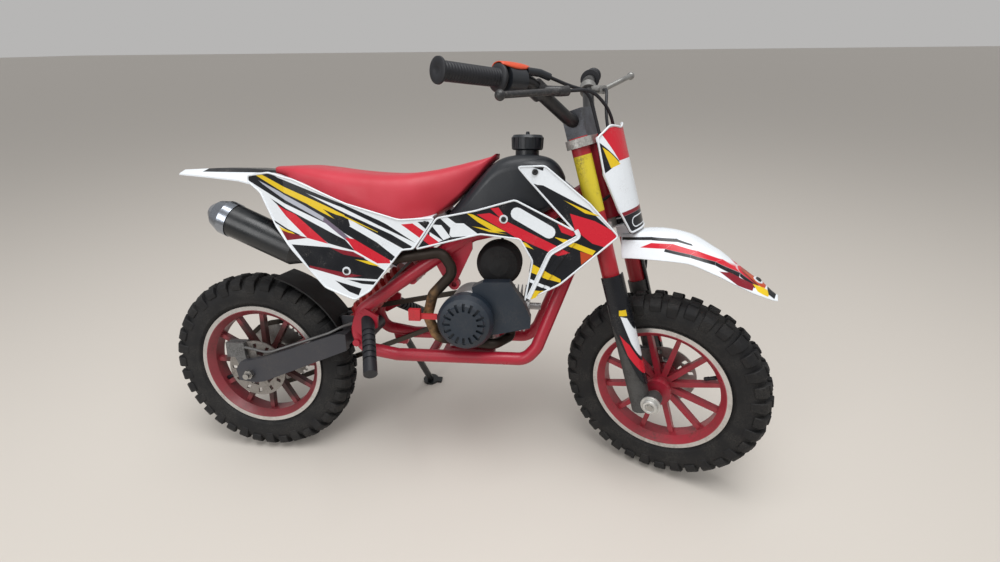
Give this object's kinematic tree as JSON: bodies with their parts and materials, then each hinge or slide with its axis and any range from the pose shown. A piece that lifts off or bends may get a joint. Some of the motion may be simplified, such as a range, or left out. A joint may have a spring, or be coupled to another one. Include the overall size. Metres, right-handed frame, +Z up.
{
  "type": "mini trail bike",
  "caption": "Small off-road motorcycle with pull-start engine, knobby tyres, red frame and striped plastics, leaning on its side stand.",
  "frame": {"origin": "ground point under the centre of the bounding box, with the bike leaning left on its side stand", "axes": "+X towards the front wheel, +Y to the bike's left, +Z up from the ground"},
  "size_m": [1.235, 0.5968, 0.8097],
  "materials": {
    "frame_red": "worn gloss paint",
    "wheel_red": "gloss paint",
    "arm_grey": "satin paint",
    "shock_red": "gloss paint",
    "steel": "zinc plated",
    "chain_steel": "oily",
    "cast_alloy": "sand cast",
    "caliper_alloy": "dirty",
    "seat_vinyl": "vinyl",
    "tank_black": "satin",
    "plastic_white": "striped film",
    "engine_plastic": "satin",
    "handle_red": "satin",
    "header_brown": "heat tinted",
    "muffler_black": "satin",
    "muffler_silver": "brushed",
    "bar_black": "satin",
    "rubber_black": "matt",
    "tyre_rubber": "dusty"
  },
  "bodies": {
    "chassis": {"drive_sprocket": "steel", "drive_chain": "chain_steel", "main_frame": "frame_red", "swingarm": "arm_grey", "rear_shock": "shock_red", "rear_axle": "steel", "seat": "seat_vinyl", "fuel_tank": "tank_black", "fuel_cap": "tank_black", "rear_fender": "plastic_white", "inner_fender": "tank_black", "side_panel_left": "plastic_white", "side_panel_right": "plastic_white", "shroud_left": "plastic_white", "shroud_right": "plastic_white", "crankcase": "cast_alloy", "cylinder": "cast_alloy", "cooling_cowl": "engine_plastic", "recoil_starter": "engine_plastic", "starter_handle": "handle_red", "clutch_cover": "cast_alloy", "carburettor": "cast_alloy", "air_filter": "tank_black", "exhaust_header": "header_brown", "muffler_body": "muffler_black", "muffler_cap": "muffler_silver", "footpegs": "rubber_black", "rear_caliper": "caliper_alloy", "throttle_cable": "rubber_black", "rear_brake_cable": "rubber_black"},
    "steering": {"triple_clamps": "cast_alloy", "fork_tubes": "frame_red", "fork_sliders": "cast_alloy", "fork_guards": "plastic_white", "front_axle": "steel", "handlebar": "bar_black", "grips": "rubber_black", "throttle_housing": "tank_black", "brake_levers": "bar_black", "number_plate": "plastic_white", "front_fender": "plastic_white", "front_caliper": "caliper_alloy", "front_brake_cable": "rubber_black", "control_cables": "rubber_black"},
    "front_wheel": {"front_tyre": "tyre_rubber", "front_rim": "wheel_red", "front_disc": "steel"},
    "rear_wheel": {"rear_tyre": "tyre_rubber", "rear_rim": "wheel_red", "rear_disc": "steel", "rear_sprocket": "steel"},
    "side_stand_body": {"side_stand": "muffler_black"}
  },
  "joints": [
    {"name": "steering", "type": "hinge", "parent": "chassis", "child": "steering", "pos_m": [0.28785, -0.05231, 0.58984], "axis": [-0.2858, 0.1992, 0.9374], "range_deg": [-9.3, 60.7]},
    {"name": "front_wheel_spin", "type": "hinge", "parent": "steering", "child": "front_wheel", "pos_m": [0.43003, -0.14588, 0.19968], "axis": [0.4156, 0.9072, -0.0661], "continuous": true},
    {"name": "rear_wheel_spin", "type": "hinge", "parent": "chassis", "child": "rear_wheel", "pos_m": [-0.41769, -0.13589, 0.19664], "axis": [0, 0.9781, -0.2079], "continuous": true},
    {"name": "side_stand_fold", "type": "hinge", "parent": "chassis", "child": "side_stand_body", "pos_m": [-0.12976, -0.04571, 0.21687], "axis": [-0.0012, 0.8867, 0.4624], "range_deg": [0, 90]}
  ]
}
